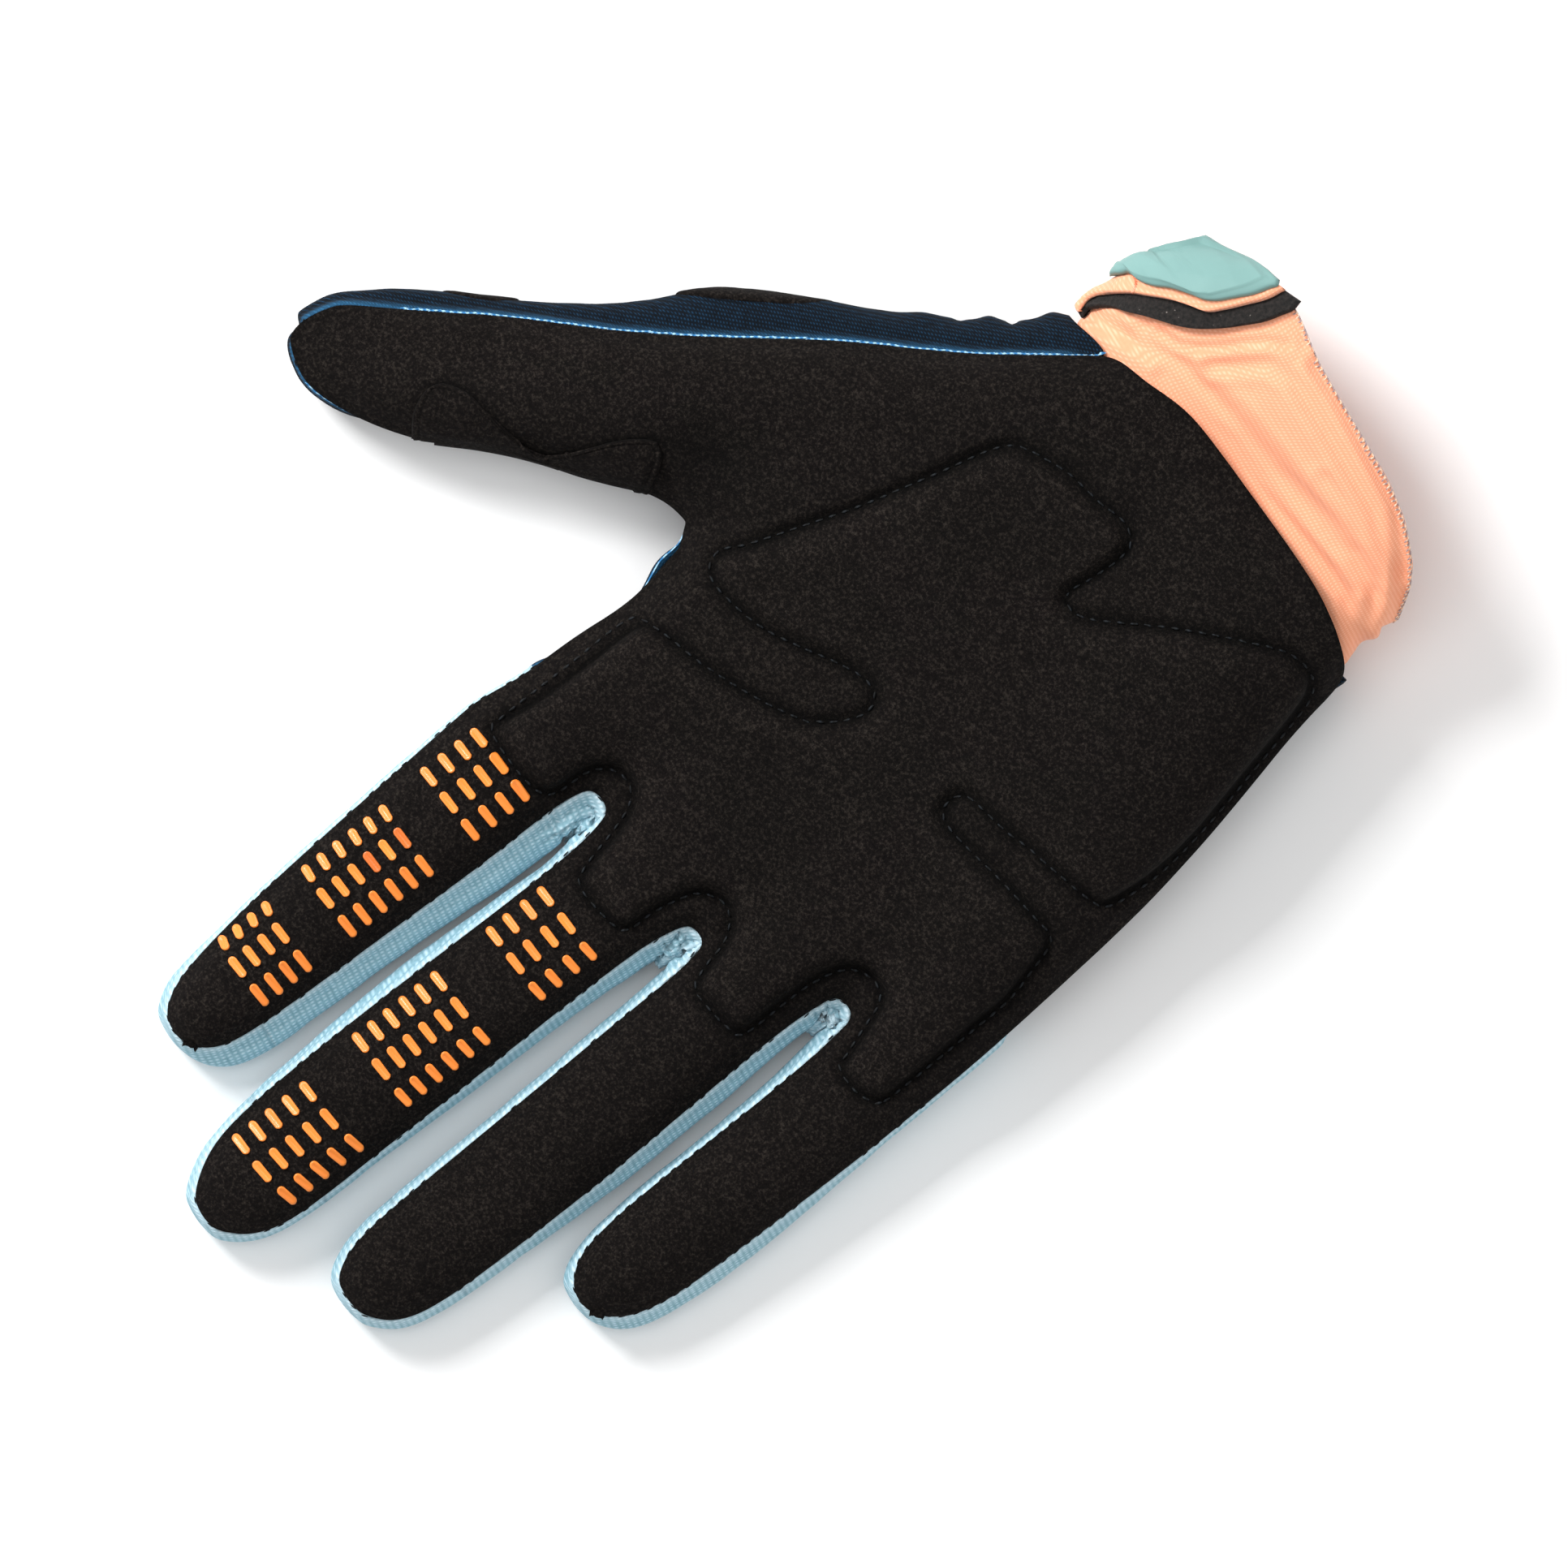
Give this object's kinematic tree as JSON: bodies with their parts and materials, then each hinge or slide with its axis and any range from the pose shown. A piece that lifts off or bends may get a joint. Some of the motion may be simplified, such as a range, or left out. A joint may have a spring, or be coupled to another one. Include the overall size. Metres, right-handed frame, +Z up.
{
  "type": "motocross glove",
  "caption": "Right hand motocross glove lying palm up, with a suede palm, knit back and finger sides, rubber grip bars on two fingers and a strapped short cuff.",
  "frame": {"origin": "middle of the palm, on the surface that the glove's back rests on", "axes": "+Z up out of the palm, +Y from the wrist to the fingertips, +X towards the thumb"},
  "size_m": [0.1802, 0.2527, 0.039],
  "materials": {
    "black_suede": "napped synthetic suede",
    "navy_mesh": "open knit mesh",
    "light_blue_knit": "fine ribbed knit",
    "peach_knit": "fine stretch knit",
    "hook_tape": "fuzzy hook tape",
    "mint_rubber": "satin moulded rubber",
    "grip_silicone": "printed silicone",
    "seam_thread": "sewing thread"
  },
  "bodies": {
    "root": {"palm_panel": "black_suede", "thumb_patch": "black_suede", "hand_back": "navy_mesh", "thumb_back": "navy_mesh", "index_back": "light_blue_knit", "middle_back": "light_blue_knit", "ring_back": "light_blue_knit", "little_back": "light_blue_knit", "fourchette_index_middle": "light_blue_knit", "fourchette_middle_ring": "light_blue_knit", "fourchette_ring_little": "light_blue_knit", "cuff": "peach_knit", "wrist_strap": "peach_knit", "hook_strip": "hook_tape", "pull_tab": "mint_rubber", "thumb_base_pad": "black_suede", "thumb_knuckle_pad": "black_suede"}
  },
  "joints": []
}
